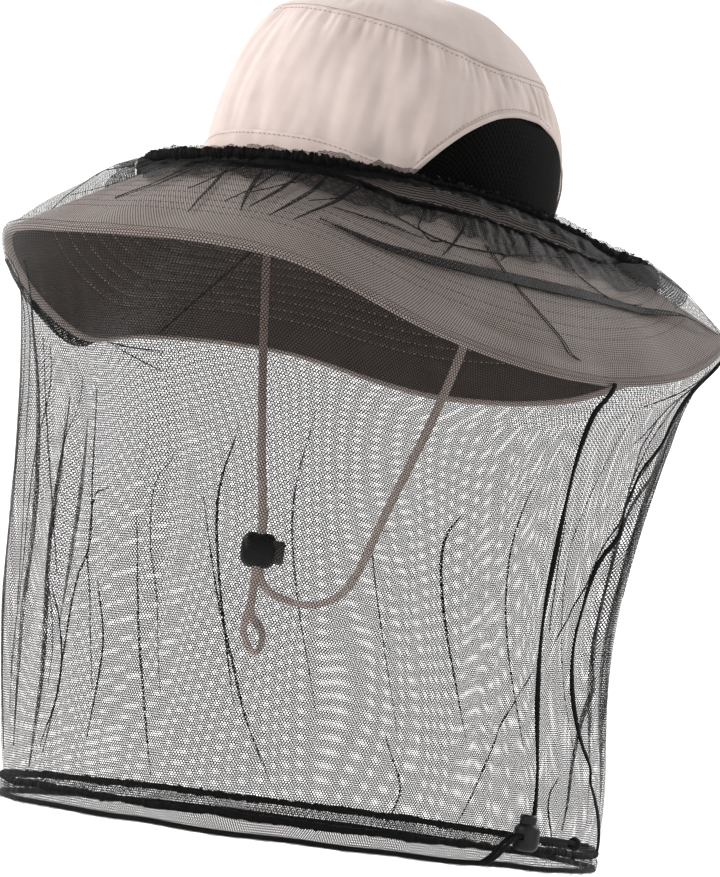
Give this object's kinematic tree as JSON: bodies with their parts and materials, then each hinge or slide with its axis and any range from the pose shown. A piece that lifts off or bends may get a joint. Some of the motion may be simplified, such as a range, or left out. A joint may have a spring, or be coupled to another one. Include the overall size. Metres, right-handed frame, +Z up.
{
  "type": "beekeeping veil",
  "caption": "Sun hat with a stiff drooping brim, mesh crown vents, a chin cord and a draped insect net that hangs to a drawcord hem.",
  "frame": {"origin": "middle of the head opening, at the crown-to-brim seam", "axes": "+Z up, -Y the wearer's front, +X the wearer's left"},
  "size_m": [0.3557, 0.4116, 0.4781],
  "materials": {
    "crown_cloth": "brushed woven polyester",
    "brim_under_cloth": "woven polyester, sewn in rings",
    "edge_tape": "bias tape",
    "brim_foam": "stiff interlining",
    "vent_mesh": "spacer mesh",
    "veil_net": "fine hexagonal tulle",
    "net_tape": "folded net and tape",
    "black_cord": "braided elastic",
    "chin_braid": "flat braid",
    "lock_plastic": "moulded, fine texture",
    "button_plastic": "moulded, satin",
    "spring_steel": "drawn wire"
  },
  "bodies": {
    "hat": {"crown_top_panel": "crown_cloth", "crown_front_panel": "crown_cloth", "crown_rear_panel": "crown_cloth", "mesh_vent_left": "vent_mesh", "mesh_vent_right": "vent_mesh", "vent_binding_left": "edge_tape", "vent_binding_right": "edge_tape", "crown_base_band": "crown_cloth", "sweatband": "edge_tape", "brim_upper": "crown_cloth", "brim_core": "brim_foam", "brim_lower": "brim_under_cloth", "brim_binding": "edge_tape", "chin_anchor_left": "chin_braid", "chin_anchor_right": "chin_braid", "veil_elastic": "black_cord", "veil_top_casing": "net_tape", "veil_drape": "veil_net", "veil_curtain": "veil_net", "veil_seam_side": "net_tape", "veil_seam_rear": "net_tape", "chin_cord": "chin_braid"},
    "hem": {"hem_casing": "net_tape", "hem_drawcord": "black_cord", "hem_cord_tails": "black_cord", "hem_cord_knot": "black_cord"},
    "hem_lock": {"hem_lock_body": "lock_plastic", "hem_lock_spring": "spring_steel"},
    "hem_button": {"hem_lock_plunger": "button_plastic"},
    "chin_lock": {"chin_lock_body": "lock_plastic", "chin_lock_spring": "spring_steel"},
    "chin_button": {"chin_lock_plunger": "button_plastic"}
  },
  "joints": [
    {"name": "veil_lift", "type": "slide", "parent": "hat", "child": "hem", "axis": [0, 0, 1], "range_m": [0, 0.15], "deforming": ["veil_curtain", "veil_seam_side", "veil_seam_rear"]},
    {"name": "hem_lock_slide", "type": "slide", "parent": "hem", "child": "hem_lock", "axis": [-0.0349, 0.9994, 0], "range_m": [0, 0.022]},
    {"name": "hem_button_press", "type": "slide", "parent": "hem_lock", "child": "hem_button", "axis": [0, 0, -1], "range_m": [0, 0.0025], "stiffness_N_per_m": 600, "deforming": ["hem_lock_spring"]},
    {"name": "chin_lock_slide", "type": "slide", "parent": "hat", "child": "chin_lock", "axis": [0, 0, -1], "range_m": [0, 0.018]},
    {"name": "chin_button_press", "type": "slide", "parent": "chin_lock", "child": "chin_button", "axis": [-0.7071, -0.7071, 0], "range_m": [0, 0.0025], "stiffness_N_per_m": 600, "deforming": ["chin_lock_spring"]}
  ]
}
